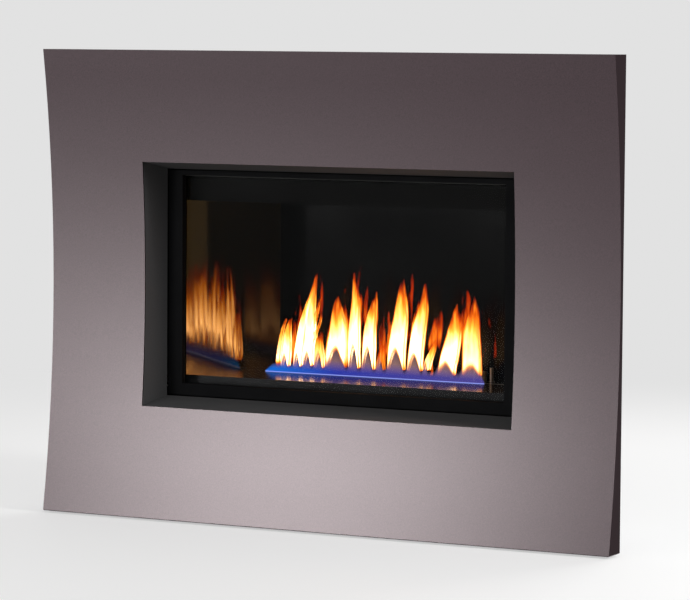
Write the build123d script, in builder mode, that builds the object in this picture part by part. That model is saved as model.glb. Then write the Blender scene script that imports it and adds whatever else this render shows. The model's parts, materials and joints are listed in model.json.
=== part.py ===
from build123d import *
from math import cos, radians, sin, sqrt, tan
import os

# A direct-vent gas fireplace insert. Millimetres, +Z up, the face looks along -Y, and the origin is on the
# floor under the middle of the whole object. Depths are given from the wall plane, that the face stands on.

# ---------------------------------------------------------------- driving dimensions
# Faceplate
face_width = 918.0
face_height = 686.0
face_standoff = 37.5  # how far its top and bottom edges stand off the wall
face_sag = 28.8  # how much nearer the wall it is at mid height
face_sheet = 2.0
face_bevel = 1.2  # along its front edges
floor_gap = 3.0
opening_width = 600.0
opening_height = 359.0
sill_rise = 163.5  # from the face's bottom edge to the opening
# Tapered sleeve between the faceplate and the door
sleeve_sheet = 1.5
sleeve_reach = 35.5  # behind the wall plane
side_taper = 12.0
sill_taper = 12.0
soffit_taper = 11.0
# Casing
body_width = 616.0
body_depth = 310.0  # behind the wall plane
body_base = 18.0
roof_room = 62.0  # between the firebox and the casing's top
case_sheet = 1.5
wall_flange = 25.0
case_lip = 15.0  # folded edges that the casing screws go through
wall_bolt_radius = 3.5
wall_bolt_foot = 108.0  # lower wall bolts above the casing's base
wall_bolt_head = 34.0  # upper wall bolts below its top
leg_radius = 4.0
leg_pad_radius = 15.0
leg_pad_height = 5.0
leg_inset = 28.0
screw_radius = 2.0
screw_head_radius = 4.0
screw_head_height = 2.4
rod_gap = 0.2  # round a rod that goes through a sheet
# Faceplate mounting
stud_radius = 3.0
stud_length = 17.0
stud_foot = 98.0  # lower studs above the casing's base
stud_head = 24.0  # upper studs below its top
stud_inset = 18.0  # from the casing's side
clip_gap = 0.3
socket_shift = (-20.0, -18.0)  # of the power inlet from the blower's axis and the controls
rib_sheet = 1.5
rib_gap = 3.0  # between the ribs and the wall plane
# Door
door_gap = 1.0  # behind the sleeve
door_clearance = 2.0  # all round, inside the sleeve
door_sheet = 1.5
door_depth = 16.0
top_flange_depth = 12.5  # of the door's top edge, that swings in as the door opens
door_lip = 8.0
stile_width = 23.0
sill_rail = 17.0
top_rail = 7.0
gasket_thickness = 1.5
gasket_width = 10.0
glass_thickness = 4.0
glass_clearance = 1.0
pin_radius = 2.0
pin_drop = 4.0  # of the hinge pins below the door's top edge
pin_play = 0.05
ball_radius = 3.0
ball_block = 10.0  # width of the blocks that hold the sprung balls
glass_play = 0.5  # from the door's light to its gasket
glass_clip_width = 14.0
# Firebox
seal_width = 7.0
seal_thickness = 5.2
seal_play = 0.8
plate_sheet = 2.0
firebox_sheet = 2.0
front_plate_rise = 22.0  # above the firebox top
panel_setback = 4.0  # behind the front plate
panel_inset = 5.0  # from the front plate's opening to the panels' front corners
panel_thickness = 4.0
panel_gap = 4.0  # between the panels and the firebox walls
panel_splay = 22.0
panel_run = 166.0  # from the side panels' front edge to the back panel
panel_drop = 5.5  # of the panels' top below the door's light
roof_gap = 38.0  # above the panels
tray_lift = 10.5  # above the foot of the door's light
tray_height = 60.0  # above the firebox floor
tray_sheet = 1.5
tray_slot = 8.0
tray_leg = 8.0  # width of the legs of its rear lip
baffle_drop = 33.0
baffle_run = 124.0
baffle_sheet = 1.5
# Burner
burner_setback = 114.0  # behind the side panels' front edge
burner_radius = 16.0
burner_wall = 1.5
burner_length = 414.0
burner_rib = 6.0
port_radius = 1.25
port_pitch = 8.0
port_row = 384.0
port_shift = -8.0
mixer_x = 110.0
mixer_radius = 11.0
mixer_wall = 1.5
mixer_mouth = 78.0  # in front of the burner's axis
window_count = 4  # in the mixer and in its shutter
window_radius = 3.5
shutter_wall = 2.0
shutter_length = 20.0
shutter_play = 0.05
lever_width = 8.0
lever_sheet = 2.0
lever_drop = 60.0
lever_swing = 25.0
elbow_radius = 6.0
nozzle_radius = 3.0
nozzle_length = 4.0
elbow_setback = 11.0  # in front of the mixer's mouth
elbow_drop = 10.0  # below the firebox
# Pilot
pilot_x = 150.0
pilot_setback = 28.0  # behind the burner's axis
pilot_radius = 5.0
pilot_rise = 14.0  # above the tray
probe_spacing = 14.0
electrode_radius = 2.0
sensor_radius = 3.0
pilot_tube_radius = 2.5
pilot_tube_bend = 20.0
pilot_tube_drop = 10.0  # below the pilot's bracket, and below the valve's top
pilot_bracket = 2.0
hood_height = 4.0
hood_bore = 9.0
electrode_rise = 4.0  # above the pilot's hood
sensor_rise = 6.0
probe_drop = 14.0  # below the pilot's bracket
probe_nut = 1.5  # round each probe
# Controls
control_setback = 28.0  # behind the wall plane
control_sheet = 2.0
control_level = 80.0
control_span = (30.0, 264.0)
control_room = 8.0  # between the panel and the firebox
hole_gap = 1.0  # round a shaft that goes through the panel
frame_lap = 2.0  # of a switch's frame over its hole
valve_size = (90.0, 66.0, 60.0)
valve_round = 5.0
valve_boss = 8.0  # height of the outlet boss and of each union nut
valve_inlet = 10.0  # length of the inlet boss
regulator_radius = 20.0
regulator_depth = 16.0
regulator_drop = 6.0  # below the knobs' level
shaft_reach = 14.0  # of the knobs' shafts into what they turn
gas_knob_x = 88.0
knob_radius = 17.0
knob_depth = 18.0
knob_gap = 2.0  # in front of the panel
knob_round = 2.0
flute_count = 12
small_flute_count = 10
flame_knob_x = 132.0
flame_knob_radius = 12.0
igniter_x = 172.0
igniter_length = 34.0
button_radius = 6.0
button_travel = 5.0
button_proud = 2.0  # of its collar when pressed
button_root = 12.0  # behind the panel
button_bore = 20.0
button_round = 1.5
igniter_collar = 3.0
rocker_x = 205.0
rocker_width = 12.0
rocker_height = 22.0
rocker_swing = 18.0
switch_depth = 24.0
rocker_pin = 1.5
rocker_inset = 3.0  # of its pin behind the panel's face
rocker_rise = 5.0  # of its face in front of the pin
rocker_bore = 16.0
fan_knob_x = 245.0
fan_knob_radius = 13.0
fan_control_half = 15.0
fan_control_wall = 6.0  # behind the end of the knob's shaft
shaft_radius = 3.0
shaft_play = 0.05
# Gas supply
supply_radius = 8.0
supply_run = 60.0  # beside the valve
supply_bend = 25.0
inlet_radius = 10.65
inlet_length = 25.0
inlet_nut = 4.0
inlet_wall = 2.8
inlet_gap = 0.5  # round it, through the casing's side
inlet_tail = 20.0  # of the threaded end inside the casing
inlet_setback = 150.0
# Blower
blower_x = -70.0
blower_gap = 14.0  # behind its housings
blower_level = 76.0
wheel_radius = 30.0
wheel_length = 88.0
blade_count = 20
blade_sheet = 1.2
blade_depth = 7.0
wheel_ring = 2.0
motor_foot = 14.0  # half the width of the motor's foot
motor_round = 3.0
motor_radius = 30.0
motor_length = 66.0
blower_shaft_radius = 4.0
scroll_gap = 8.0
scroll_sheet = 1.5
scroll_room = 6.0  # beside the motor, and below the firebox
# Vent
collar_radius = 38.1
collar_wall = 1.5
collar_rise = 40.0
collar_spacing = 150.0
collar_setback = 170.0
collar_flange = 8.0
collar_bead = 3.0
collar_gap = 1.0  # round it, and below its bead
duct_width = 100.0
duct_depth = 26.0
duct_height = 36.0
duct_sheet = 1.5
duct_margin = 2.0  # in front of the collar's flange
restrictor_size = 70.0
restrictor_lap = 10.0  # past the flue, each side
restrictor_sheet = 2.0
restrictor_play = 0.5
handle_width = 16.0
handle_drop = 18.0
handle_inset = 8.0
restrictor_travel = 50.0
# Power inlet
inlet_socket = (27.0, 20.0)
socket_depth = 16.0
socket_bore = 12.0
socket_flange = 3.0
socket_wall = 2.0
socket_pitch = 7.0  # of its three pins
pin_length = 13.0
pin_lift = 2.0  # of the middle pin, and the others' drop

# ---------------------------------------------------------------- places worked out from them
curve_radius = (face_height / 2) ** 2 / (2 * face_sag) + face_sag / 2
front_reach = face_standoff - face_bevel * face_height / 2 / curve_radius
wall_y = (front_reach - body_depth) / 2
face_bottom = floor_gap
face_top = floor_gap + face_height
middle = floor_gap + face_height / 2
curve_y = wall_y - (face_standoff - face_sag) - curve_radius
sill = face_bottom + sill_rise
soffit = sill + opening_height


def face_y(z, behind=0.0):
    """Where the concave face is at height z, or the surface that lies so far behind it."""
    return curve_y + sqrt((curve_radius + behind) ** 2 - (z - middle) ** 2)


sleeve_back = wall_y + sleeve_reach
sleeve_front = face_y(soffit, face_sheet)
side_front = face_y(middle, face_sheet)


def sleeve_limits(y):
    """The sleeve's inner half width, sill and soffit at the depth y."""
    side = (y - side_front) / (sleeve_back - side_front)
    rise = (y - sleeve_front) / (sleeve_back - sleeve_front)
    return opening_width / 2 - side_taper * side, sill + sill_taper * rise, soffit - soffit_taper * rise


mouth_half, mouth_low, mouth_high = sleeve_limits(sleeve_back)
door_half = mouth_half - door_clearance
door_low = mouth_low + door_clearance
door_high = mouth_high - door_clearance
door_front = sleeve_back + door_gap
light_half = door_half - stile_width
light_low = door_low + sill_rail
light_high = door_high - top_rail
gasket_front = door_front + door_lip
glass_front = gasket_front + gasket_thickness
glass_back = glass_front + glass_thickness
glass_half = door_half - door_sheet - glass_clearance
glass_low = door_low + door_sheet + glass_clearance
glass_high = door_high - door_sheet - glass_clearance / 2
tray_level = light_low + tray_lift
firebox_floor_level = tray_level - tray_height
panel_top = light_high - panel_drop
firebox_top_level = panel_top + roof_gap
body_top = firebox_top_level + roof_room
stud_levels = (body_base + stud_foot, body_top - stud_head)
wall_bolt_levels = (body_base + wall_bolt_foot, body_top - wall_bolt_head)
hinge_y = door_front + door_sheet + pin_radius * 2
hinge_z = door_high - pin_drop

seal_front = glass_back + seal_play
plate_front = seal_front + seal_thickness
plate_back = plate_front + plate_sheet
fire_half = glass_half - seal_play - seal_width
fire_low = glass_low + seal_width
fire_high = glass_high - seal_width
case_half = body_width / 2
case_inner = case_half - case_sheet
case_back = wall_y + body_depth
plate_top = firebox_top_level + front_plate_rise

panel_front = plate_back + panel_setback
back_panel_y = panel_front + panel_run
corner_half = fire_half - panel_inset
splay = tan(radians(panel_splay))
wall_offset = panel_thickness + panel_gap
back_wall_y = back_panel_y + wall_offset


def splay_x(y, offset=0.0):
    """Half width between the splayed panels at depth y, or that of a surface so far outside them."""
    return corner_half + offset / cos(radians(panel_splay)) - (y - panel_front) * splay


tray_back = back_panel_y + panel_thickness
burner_y = panel_front + burner_setback
burner_level = tray_level - tray_sheet - burner_radius
floor_top = firebox_floor_level + firebox_sheet
mouth_y = burner_y - mixer_mouth
shutter_radius = mixer_radius + shutter_play + shutter_wall
lever_y = mouth_y + shutter_length / 2
elbow_y = mouth_y - elbow_setback
pilot_y = burner_y + pilot_setback
pan_top = body_base + case_sheet
panel_plane = wall_y + control_setback
valve_front = panel_plane + control_sheet
valve_x = mixer_x
valve_low = control_level - valve_size[2] / 2
valve_high = control_level + valve_size[2] / 2
scroll_radius = wheel_radius + scroll_gap
blower_y = case_back - case_sheet - blower_gap - scroll_sheet - scroll_radius
collar_y = wall_y + collar_setback
exhaust_x = collar_spacing / 2
intake_x = -collar_spacing / 2
collar_top = body_top + collar_rise
duct_low = firebox_top_level
duct_high = firebox_top_level + duct_height
duct_rear = back_wall_y + firebox_sheet + duct_depth

# ---------------------------------------------------------------- helpers


def span_box(x, y, z, mode=Mode.ADD):
    """A box given by its two limits along each axis."""
    with Locations(((x[0] + x[1]) / 2, (y[0] + y[1]) / 2, (z[0] + z[1]) / 2)):
        Box(x[1] - x[0], y[1] - y[0], z[1] - z[0], mode=mode)


def rod(start, end, radius, mode=Mode.ADD):
    """A round bar from one point to another."""
    along = Vector(end) - Vector(start)
    with Locations(Plane(origin=start, z_dir=along)):
        Cylinder(radius, along.length, align=(Align.CENTER, Align.CENTER, Align.MIN), mode=mode)


def both_sides(value):
    return -value, value


def plan_piece(points, low, high):
    """An upright solid on a plan outline, from one height to another."""
    with BuildPart() as piece:
        with BuildSketch(Plane.XY.offset(low)):
            with BuildLine():
                Polyline(*points, close=True)
            make_face()
        extrude(amount=high - low)
    return piece


def splayed_plan(front, back, offset):
    """The plan of the firebox between two depths, with its sides so far outside the panels."""
    return [
        (-splay_x(front, offset), front),
        (splay_x(front, offset), front),
        (splay_x(back, offset), back),
        (-splay_x(back, offset), back),
    ]


def splayed_wall(side, front, back, inner, outer):
    """The plan of one side's sheet between two offsets from the panels' faces."""
    return [
        (side * splay_x(front, inner), front),
        (side * splay_x(front, outer), front),
        (side * splay_x(back, outer), back),
        (side * splay_x(back, inner), back),
    ]


def tube_along(points, radius, bend):
    """A round tube along straight runs joined by arcs."""
    with BuildPart() as tube:
        with BuildLine() as route:
            FilletPolyline(*points, radius=bend)
        with BuildSketch(Plane(origin=route.line @ 0, z_dir=route.line % 0)):
            Circle(radius)
        sweep()
    return tube


def finish_piece(piece, name):
    piece.part.label = name
    export_step(piece.part, f"parts/{name}.step")


os.makedirs("parts", exist_ok=True)

# ---------------------------------------------------------------- faceplate
with BuildPart() as faceplate:
    with BuildSketch(Plane.YZ.offset(-face_width / 2)):
        with BuildLine():
            ThreePointArc(
                (face_y(face_bottom), face_bottom), (face_y(middle), middle), (face_y(face_top), face_top)
            )
            Polyline(
                (face_y(face_top), face_top),
                (wall_y, face_top),
                (wall_y, face_bottom),
                (face_y(face_bottom), face_bottom),
            )
        make_face()
    extrude(amount=face_width)
    front_face = faceplate.faces().sort_by(Axis.Y)[0]
    chamfer(front_face.edges(), face_bevel)
    inner_low = face_bottom + face_sheet
    inner_high = face_top - face_sheet
    with BuildSketch(Plane.YZ.offset(-face_width / 2 + face_sheet)):
        with BuildLine():
            ThreePointArc(
                (face_y(inner_low, face_sheet), inner_low),
                (face_y(middle, face_sheet), middle),
                (face_y(inner_high, face_sheet), inner_high),
            )
            Polyline(
                (face_y(inner_high, face_sheet), inner_high),
                (wall_y + face_sheet, inner_high),
                (wall_y + face_sheet, inner_low),
                (face_y(inner_low, face_sheet), inner_low),
            )
        make_face()
    extrude(amount=face_width - 2 * face_sheet, mode=Mode.SUBTRACT)
    span_box(
        both_sides(opening_width / 2), (wall_y - face_standoff, wall_y), (sill, soffit), mode=Mode.SUBTRACT
    )
finish_piece(faceplate, "faceplate")

# Four tapered walls, cut to the back of the curved sheet in front
with BuildPart() as opening_sleeve:
    loft_front = wall_y - face_standoff
    for growth, mode in ((sleeve_sheet, Mode.ADD), (0.0, Mode.SUBTRACT)):
        for y in (loft_front, sleeve_back):
            half, low, high = sleeve_limits(y)
            with BuildSketch(Plane(origin=(0, y, (low + high) / 2), x_dir=(1, 0, 0), z_dir=(0, -1, 0))):
                Rectangle(2 * (half + growth), high - low + 2 * growth)
        loft(mode=mode)
    with Locations((0, curve_y, middle)):
        Cylinder(curve_radius + face_sheet, face_width, rotation=(0, 90, 0), mode=Mode.SUBTRACT)
finish_piece(opening_sleeve, "opening_sleeve")

# Two upright ribs, cut to the curve, with folded tabs for the studs
stud_x = case_inner - stud_inset
rib_x = stud_x + stud_inset + rib_sheet
rib_back = wall_y - rib_gap
rib_low = face_bottom + face_sheet
rib_high = face_top - face_sheet
with BuildPart() as faceplate_ribs:
    for side in (-1, 1):
        with BuildSketch(Plane.YZ.offset(side * rib_x - rib_sheet / 2)):
            with BuildLine():
                ThreePointArc(
                    (face_y(rib_low, face_sheet), rib_low),
                    (face_y(middle, face_sheet), middle),
                    (face_y(rib_high, face_sheet), rib_high),
                )
                Polyline(
                    (face_y(rib_high, face_sheet), rib_high),
                    (rib_back, rib_high),
                    (rib_back, rib_low),
                    (face_y(rib_low, face_sheet), rib_low),
                )
            make_face()
        extrude(amount=rib_sheet)
        tab = sorted((side * (stud_x - 2 * stud_radius), side * (rib_x + rib_sheet / 2)))
        for level in stud_levels:
            span_box(
                tab, (rib_back - rib_sheet, rib_back), (level - 4 * stud_radius, level + 4 * stud_radius)
            )
finish_piece(faceplate_ribs, "faceplate_ribs")

stud_places = [(x, level) for x in both_sides(stud_x) for level in stud_levels]
with BuildPart() as spring_studs:
    for x, z in stud_places:
        rod((x, rib_back, z), (x, rib_back + 1, z), stud_radius * 1.3)
        rod((x, rib_back, z), (x, rib_back + stud_length - stud_radius, z), stud_radius)
        with Locations((x, rib_back + stud_length - stud_radius, z)):
            Sphere(stud_radius)
finish_piece(spring_studs, "spring_studs")

# ---------------------------------------------------------------- casing
screw_levels = (body_base + 0.3 * (body_top - body_base), body_base + 0.7 * (body_top - body_base))
screw_depths = (wall_y + 0.25 * body_depth, wall_y + 0.75 * body_depth)
lip_middle = case_lip / 2 + case_sheet
screw_places = (
    [(depth, body_base + lip_middle) for depth in screw_depths]
    + [(depth, body_top - lip_middle) for depth in screw_depths]
    + [(case_back - lip_middle, level) for level in screw_levels]
)
supply_y = wall_y + inlet_setback
socket_place = (blower_y + socket_shift[0], control_level + socket_shift[1])


def casing_panel(side):
    """One side of the casing, with its wall flange, its tabs for the studs and its screw holes."""
    with BuildPart() as panel:
        outer = sorted((side * case_inner, side * case_half))
        flange = sorted((side * case_half, side * (case_half + wall_flange)))
        span_box(outer, (wall_y - case_sheet, case_back), (body_base, body_top))
        span_box(flange, (wall_y - case_sheet, wall_y), (body_base, body_top))
        for level in stud_levels:
            tab = sorted((side * (stud_x - 3 * stud_radius), side * case_inner))
            span_box(
                tab, (wall_y - case_sheet, wall_y), (level - 5 * stud_radius, level + 5 * stud_radius)
            )
            hole = side * stud_x
            rod(
                (hole, wall_y - 2 * case_sheet, level),
                (hole, wall_y + case_sheet, level),
                stud_radius + clip_gap,
                mode=Mode.SUBTRACT,
            )
        bolt_x = side * (case_half + wall_flange / 2)
        for level in wall_bolt_levels:
            rod(
                (bolt_x, wall_y - 2 * case_sheet, level),
                (bolt_x, wall_y + case_sheet, level),
                wall_bolt_radius,
                mode=Mode.SUBTRACT,
            )
        for y, z in screw_places:
            rod(
                (side * (case_inner - 1), y, z),
                (side * (case_half + 1), y, z),
                screw_radius,
                mode=Mode.SUBTRACT,
            )
    return panel


left_casing_panel = casing_panel(-1)
with left_casing_panel:
    rod(
        (-case_half - 1, supply_y, control_level),
        (-case_inner + 1, supply_y, control_level),
        inlet_radius + inlet_gap,
        mode=Mode.SUBTRACT,
    )
finish_piece(left_casing_panel, "left_casing_panel")

right_casing_panel = casing_panel(1)
with right_casing_panel:
    span_box(
        (case_inner - 1, case_half + 1),
        (socket_place[0] - inlet_socket[0] / 2, socket_place[0] + inlet_socket[0] / 2),
        (socket_place[1] - inlet_socket[1] / 2, socket_place[1] + inlet_socket[1] / 2),
        mode=Mode.SUBTRACT,
    )
finish_piece(right_casing_panel, "right_casing_panel")

leg_places = [
    (x, y) for x in both_sides(case_inner - leg_inset) for y in (wall_y + leg_inset, case_back - leg_inset)
]
lip_span = (wall_y + 2 * case_lip, case_back - 2 * case_lip)


def lip_screw_holes():
    for y, z in screw_places:
        rod((-case_half - 1, y, z), (case_half + 1, y, z), screw_radius, mode=Mode.SUBTRACT)


with BuildPart() as base_pan:
    span_box(both_sides(case_inner), (wall_y - case_sheet, case_back - case_sheet), (body_base, pan_top))
    for side in (-1, 1):
        lip = sorted((side * (case_inner - case_sheet), side * case_inner))
        span_box(lip, lip_span, (pan_top, pan_top + case_lip))
    for x, y in leg_places:
        rod((x, y, body_base - 1), (x, y, pan_top + 1), leg_radius + rod_gap, mode=Mode.SUBTRACT)
    lip_screw_holes()
finish_piece(base_pan, "base_pan")

with BuildPart() as casing_top:
    top_under = body_top - case_sheet
    span_box(both_sides(case_inner), (wall_y - case_sheet, case_back - case_sheet), (top_under, body_top))
    for side in (-1, 1):
        lip = sorted((side * (case_inner - case_sheet), side * case_inner))
        span_box(lip, lip_span, (top_under - case_lip, top_under))
    for x in (intake_x, exhaust_x):
        rod(
            (x, collar_y, top_under - 1),
            (x, collar_y, body_top + 1),
            collar_radius + collar_gap,
            mode=Mode.SUBTRACT,
        )
    lip_screw_holes()
finish_piece(casing_top, "casing_top")

with BuildPart() as rear_casing_panel:
    span_box(both_sides(case_inner), (case_back - case_sheet, case_back), (body_base, body_top))
    for side in (-1, 1):
        lip = sorted((side * (case_inner - case_sheet), side * case_inner))
        span_box(
            lip,
            (case_back - case_sheet - case_lip, case_back - case_sheet),
            (pan_top + case_lip, top_under - case_lip),
        )
    lip_screw_holes()
finish_piece(rear_casing_panel, "rear_casing_panel")

with BuildPart() as casing_screws:
    for side in (-1, 1):
        for y, z in screw_places:
            rod(
                (side * case_half, y, z), (side * (case_half + screw_head_height), y, z), screw_head_radius
            )
            rod((side * case_half, y, z), (side * (case_inner - 3 * case_sheet), y, z), screw_radius)
            slot_half = screw_head_height / 4
            slot = sorted(
                (side * (case_half + screw_head_height / 2), side * (case_half + screw_head_height))
            )
            span_box(
                slot,
                (y - slot_half, y + slot_half),
                (z - screw_head_radius, z + screw_head_radius),
                mode=Mode.SUBTRACT,
            )
finish_piece(casing_screws, "casing_screws")

# Levelling legs: a pad, a stem and a nut each side of the pan
leg_nut = 1.6 * leg_radius
with BuildPart() as levelling_legs:
    for x, y in leg_places:
        rod((x, y, 0), (x, y, leg_pad_height), leg_pad_radius)
        rod((x, y, leg_pad_height), (x, y, pan_top + 3 * leg_radius), leg_radius)
        with BuildSketch(Plane.XY.offset(body_base - leg_radius)):
            with Locations((x, y)):
                RegularPolygon(leg_nut, 6)
        extrude(amount=leg_radius)
        with BuildSketch(Plane.XY.offset(pan_top)):
            with Locations((x, y)):
                RegularPolygon(leg_nut, 6)
        extrude(amount=leg_radius)
finish_piece(levelling_legs, "levelling_legs")

# Spring sockets behind the casing's tabs, that the faceplate's studs push into
with BuildPart() as stud_clips:
    for x, z in stud_places:
        rod((x, wall_y, z), (x, wall_y + stud_length - rib_gap, z), 2 * stud_radius)
        rod(
            (x, wall_y, z),
            (x, wall_y + stud_length - rib_gap, z),
            stud_radius + clip_gap,
            mode=Mode.SUBTRACT,
        )
finish_piece(stud_clips, "stud_clips")

# ---------------------------------------------------------------- firebox
ear_sheet = plate_sheet
ear_x = door_half + door_gap
catch_level = door_low + sill_rail
with BuildPart() as firebox_front_plate:
    span_box(both_sides(case_inner), (plate_front, plate_back), (firebox_floor_level, plate_top))
    span_box(both_sides(fire_half), (plate_front, plate_back), (fire_low, fire_high), mode=Mode.SUBTRACT)
    for side in (-1, 1):
        ear = sorted((side * ear_x, side * (ear_x + ear_sheet)))
        span_box(
            ear,
            (door_front + door_gap, plate_front),
            (hinge_z - 4 * pin_radius, hinge_z + 3 * pin_radius),
        )
        rod(
            (side * (ear_x - 1), hinge_y, hinge_z),
            (side * (ear_x + ear_sheet + 1), hinge_y, hinge_z),
            pin_radius + pin_play,
            mode=Mode.SUBTRACT,
        )
finish_piece(firebox_front_plate, "firebox_front_plate")

with BuildPart() as door_seal:
    seal_half = glass_half - seal_play
    span_box(both_sides(seal_half), (seal_front, plate_front), (glass_low, glass_high))
    span_box(both_sides(fire_half), (seal_front, plate_front), (fire_low, fire_high), mode=Mode.SUBTRACT)
    front_edges = door_seal.faces().sort_by(Axis.Y)[0].edges()
    fillet(front_edges, seal_width / 4)
finish_piece(door_seal, "door_seal")

# Sprung balls that bear on the door's sides
with BuildPart() as ball_catches:
    for side in (-1, 1):
        block = sorted((side * (ear_x + ear_sheet), side * (ear_x + ear_sheet + ball_block)))
        span_box(
            block,
            (door_front + door_gap, plate_front),
            (catch_level - 2 * ball_radius, catch_level + 2 * ball_radius),
        )
        with Locations((side * (door_half + clip_gap + ball_radius), hinge_y + ball_radius, catch_level)):
            Sphere(ball_radius, rotation=(0, 90, 0))
finish_piece(ball_catches, "ball_catches")

firebox_back = back_wall_y + firebox_sheet
wall_outer = wall_offset + firebox_sheet
for side, name in ((-1, "firebox_left_wall"), (1, "firebox_right_wall")):
    side_wall = plan_piece(
        splayed_wall(side, plate_back, back_wall_y, wall_offset, wall_outer),
        firebox_floor_level,
        firebox_top_level,
    )
    finish_piece(side_wall, name)

duct_half = duct_width / 2
with BuildPart() as firebox_back_wall:
    span_box(
        both_sides(splay_x(back_wall_y, wall_outer)),
        (back_wall_y, firebox_back),
        (firebox_floor_level, firebox_top_level),
    )
    span_box(
        (intake_x - duct_half + 3 * duct_sheet, intake_x + duct_half - 3 * duct_sheet),
        (back_wall_y - 1, firebox_back + 1),
        (floor_top + 3 * duct_sheet, tray_level - 3 * duct_sheet),
        mode=Mode.SUBTRACT,
    )
finish_piece(firebox_back_wall, "firebox_back_wall")

shutter_slot = lever_drop * sin(radians(lever_swing))
probe_places = [(pilot_x - probe_spacing, pilot_y), (pilot_x + probe_spacing, pilot_y)]
firebox_floor = plan_piece(
    splayed_plan(plate_back, back_wall_y, wall_offset), firebox_floor_level, floor_top
)
with firebox_floor:
    below = firebox_floor_level - 1
    above = floor_top + 1
    rod((mixer_x, elbow_y, below), (mixer_x, elbow_y, above), elbow_radius + rod_gap, mode=Mode.SUBTRACT)
    rod(
        (pilot_x, pilot_y, below),
        (pilot_x, pilot_y, above),
        pilot_tube_radius + clip_gap,
        mode=Mode.SUBTRACT,
    )
    span_box(
        (mixer_x - shutter_slot, mixer_x + shutter_slot),
        (lever_y - lever_sheet, lever_y + lever_sheet),
        (below, above),
        mode=Mode.SUBTRACT,
    )
finish_piece(firebox_floor, "firebox_floor")

# The firebox top carries two folded rails for the flue restrictor
top_under_side = firebox_top_level - firebox_sheet
restrictor_half = restrictor_size / 2 + restrictor_lap
firebox_top = plan_piece(
    splayed_plan(plate_back, back_wall_y, wall_offset), top_under_side, firebox_top_level
)
rail_low = top_under_side - restrictor_sheet - 2 * restrictor_play - firebox_sheet
rail_start = exhaust_x + collar_radius - restrictor_travel
rail_end = exhaust_x + collar_radius + restrictor_size
with firebox_top:
    rod(
        (exhaust_x, collar_y, top_under_side - 1),
        (exhaust_x, collar_y, firebox_top_level + 1),
        collar_radius - collar_wall,
        mode=Mode.SUBTRACT,
    )
    for side in (-1, 1):
        web = sorted(
            (
                collar_y + side * (restrictor_half + restrictor_play),
                collar_y + side * (restrictor_half + restrictor_play + firebox_sheet),
            )
        )
        shelf = sorted(
            (collar_y + side * (restrictor_half - 2 * restrictor_sheet), web[0] if side > 0 else web[1])
        )
        span_box((rail_start, rail_end), web, (rail_low, top_under_side))
        span_box((rail_start, rail_end), shelf, (rail_low, rail_low + firebox_sheet))
finish_piece(firebox_top, "firebox_top")

with BuildPart() as restrictor_plate:
    plate_x = exhaust_x + collar_radius + restrictor_play
    plate_z = rail_low + firebox_sheet + restrictor_play
    span_box(
        (plate_x, plate_x + restrictor_size - 4 * restrictor_play),
        (collar_y - restrictor_half, collar_y + restrictor_half),
        (plate_z, plate_z + restrictor_sheet),
    )
    handle_x = plate_x + handle_inset
    handle_y = collar_y - restrictor_half + 1.5 * handle_inset
    span_box(
        (handle_x, handle_x + restrictor_sheet),
        (handle_y, handle_y + handle_width),
        (plate_z - handle_drop, plate_z),
    )
finish_piece(restrictor_plate, "restrictor_plate")

for side, name in ((-1, "left_mirror_panel"), (1, "right_mirror_panel")):
    mirror_panel = plan_piece(
        splayed_wall(side, panel_front, back_panel_y, 0, panel_thickness), tray_level, panel_top
    )
    finish_piece(mirror_panel, name)

back_mirror_panel = plan_piece(
    [
        (-splay_x(back_panel_y, panel_thickness), back_panel_y),
        (splay_x(back_panel_y, panel_thickness), back_panel_y),
        (splay_x(back_panel_y, panel_thickness), tray_back),
        (-splay_x(back_panel_y, panel_thickness), tray_back),
    ],
    tray_level,
    panel_top,
)
finish_piece(back_mirror_panel, "back_mirror_panel")

# The baffle lies on the panels, with a lip hanging behind the door's top edge
upper_baffle = plan_piece(
    splayed_plan(panel_front, panel_front + baffle_run, panel_thickness), panel_top, panel_top + baffle_sheet
)
with upper_baffle:
    lip_front = panel_front + panel_setback
    span_box(
        both_sides(splay_x(lip_front + baffle_sheet) - 1),
        (lip_front, lip_front + baffle_sheet),
        (panel_top - baffle_drop, panel_top),
    )
finish_piece(upper_baffle, "upper_baffle")

# The tray is a bench: a mirror-black top on a front and a rear lip
tray_under = tray_level - tray_sheet
rib_half = burner_rib / 2
burner_half = burner_length / 2
burner_tray = plan_piece(splayed_plan(panel_front, tray_back, panel_thickness), tray_under, tray_level)
with burner_tray:
    front_half = splay_x(panel_front + tray_sheet, panel_thickness) - 1
    rear_half = splay_x(tray_back, panel_thickness) - 1
    span_box(both_sides(front_half), (panel_front, panel_front + tray_sheet), (floor_top, tray_under))
    span_box(
        both_sides(rear_half), (tray_back - tray_sheet, tray_back), (tray_level - 2 * case_lip, tray_under)
    )
    for x in both_sides(rear_half - tray_leg / 2):
        span_box(
            (x - tray_leg / 2, x + tray_leg / 2),
            (tray_back - tray_sheet, tray_back),
            (floor_top, tray_level - 2 * case_lip),
        )
    span_box(
        both_sides(burner_half),
        (burner_y - tray_slot / 2, burner_y + tray_slot / 2),
        (tray_under - 1, tray_level + 1),
        mode=Mode.SUBTRACT,
    )
    span_box(
        (pilot_x - 1.6 * probe_spacing, pilot_x + 1.6 * probe_spacing),
        (pilot_y - 1.4 * pilot_radius, pilot_y + 1.4 * pilot_radius),
        (tray_under - 1, tray_level + 1),
        mode=Mode.SUBTRACT,
    )
finish_piece(burner_tray, "burner_tray")

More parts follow.
